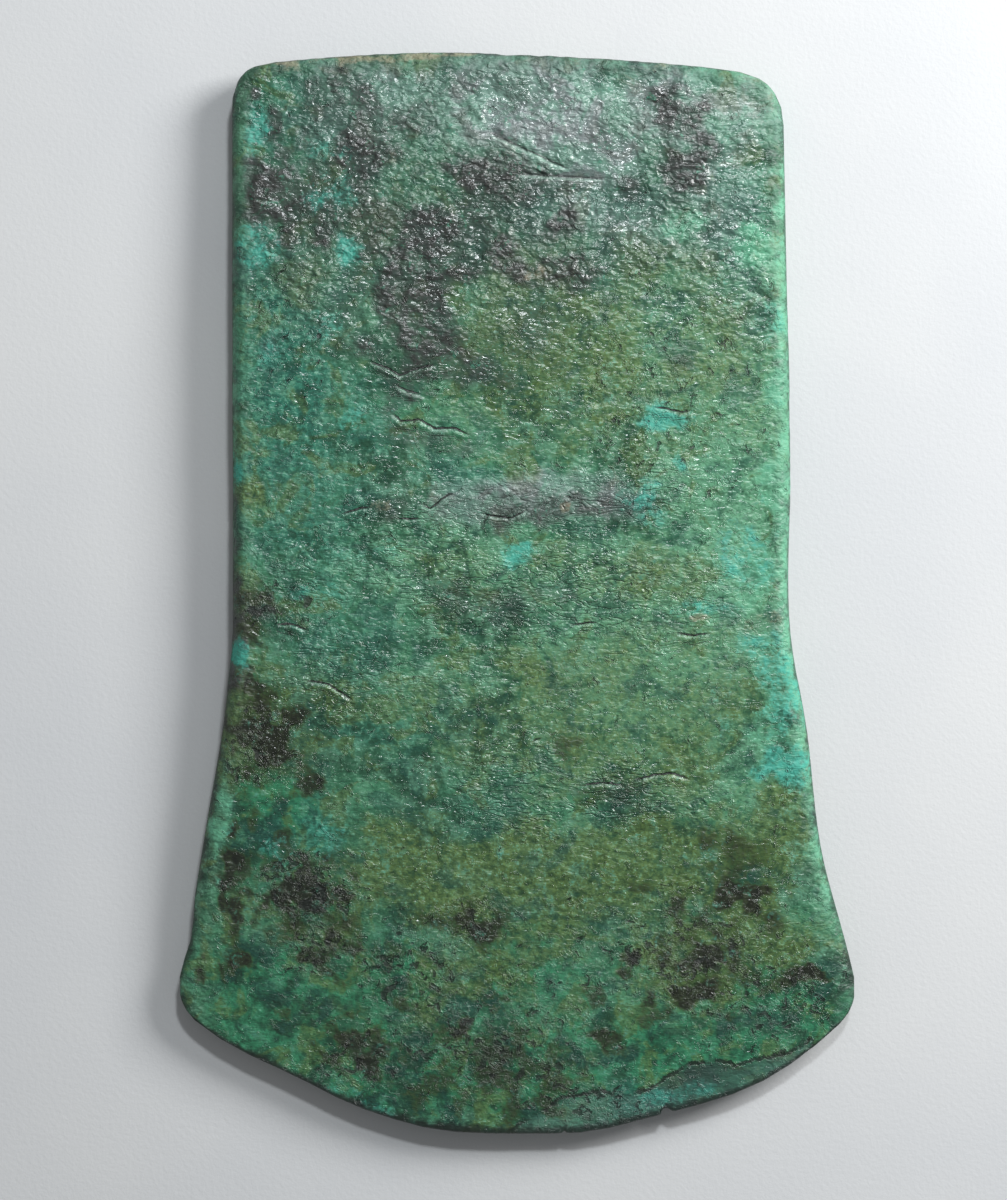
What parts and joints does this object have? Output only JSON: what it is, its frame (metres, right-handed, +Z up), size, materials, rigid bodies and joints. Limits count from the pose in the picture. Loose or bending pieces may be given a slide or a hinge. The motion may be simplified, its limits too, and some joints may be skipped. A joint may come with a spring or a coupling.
{
  "type": "flat axe head",
  "caption": "Flat metal axe head: a thin plate with straight sides, a low crowned butt and a spread, curved cutting edge, under a green and brown patina.",
  "frame": {"origin": "centre of the bounding box in plan, at the height of the surface on which the axe head lies", "axes": "+Z up from the lower face, through the thickness; +Y towards the butt and -Y towards the cutting edge; +X across the plate, to the right when the pictured face is seen with the butt at the top"},
  "size_m": [0.1186, 0.19, 0.009],
  "materials": {
    "patinated_copper": null
  },
  "bodies": {
    "root": {"axe_head": "patinated_copper"}
  },
  "joints": []
}
